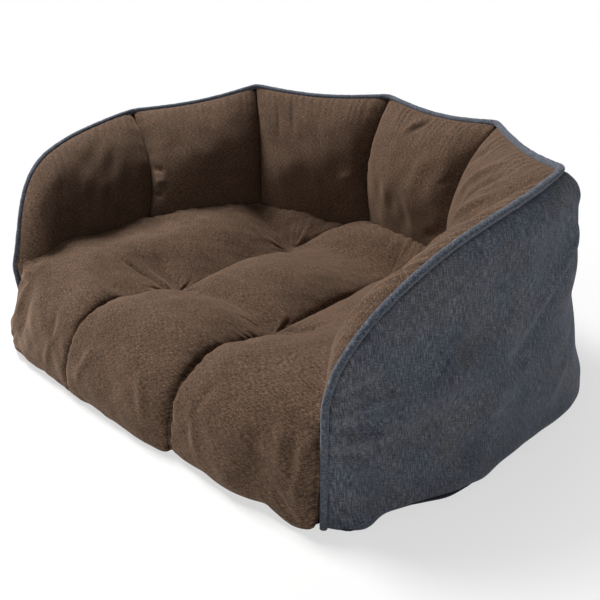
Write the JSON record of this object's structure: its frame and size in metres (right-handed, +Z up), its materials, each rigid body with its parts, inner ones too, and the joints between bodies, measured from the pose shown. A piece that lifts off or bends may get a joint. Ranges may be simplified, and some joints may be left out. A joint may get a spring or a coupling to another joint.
{
  "type": "pet sofa",
  "caption": "Low pet sofa with a tufted seat, open at the front, inside a horseshoe wall of padded channels with piping round its scalloped rim.",
  "frame": {"origin": "on the floor under the middle of the sofa's bounding box", "axes": "+Z up, the open front faces -Y, +X towards the wing on the right of someone who lies in the nest and looks at the back wall; the two halves mirror each other about X = 0"},
  "size_m": [0.7668, 0.5709, 0.3183],
  "materials": {
    "nest_chenille": "warm brown chenille upholstery cloth, matt with a soft nap",
    "outer_chenille": "blue-grey chenille upholstery cloth with upright slubs, matt",
    "piping_cloth": "the blue-grey cloth cut on the bias, matt",
    "base_cloth": "near-black non-slip base cloth",
    "fibre_filling": "white polyester fibre filling and wadding",
    "piping_cord": "twisted natural filler cord",
    "thread": "strong brown upholstery thread"
  },
  "bodies": {
    "root": {"base_panel": "base_cloth", "left_back_pad_cover": "nest_chenille", "left_back_pad_fill": "fibre_filling", "left_back_wadding": "fibre_filling", "left_side_pad_cover": "nest_chenille", "left_side_pad_fill": "fibre_filling", "left_side_wadding": "fibre_filling", "left_wing_pad_cover": "nest_chenille", "left_wing_pad_fill": "fibre_filling", "left_wing_wadding": "fibre_filling", "outer_cover": "outer_chenille", "piping_cord": "piping_cord", "piping_cover": "piping_cloth", "right_back_pad_cover": "nest_chenille", "right_back_pad_fill": "fibre_filling", "right_back_wadding": "fibre_filling", "right_side_pad_cover": "nest_chenille", "right_side_pad_fill": "fibre_filling", "right_side_wadding": "fibre_filling", "right_wing_pad_cover": "nest_chenille", "right_wing_pad_fill": "fibre_filling", "right_wing_wadding": "fibre_filling", "seat_cover": "nest_chenille", "seat_fill_centre": "fibre_filling", "seat_fill_left": "fibre_filling", "seat_fill_right": "fibre_filling", "tuft_ties": "thread"}
  },
  "joints": []
}
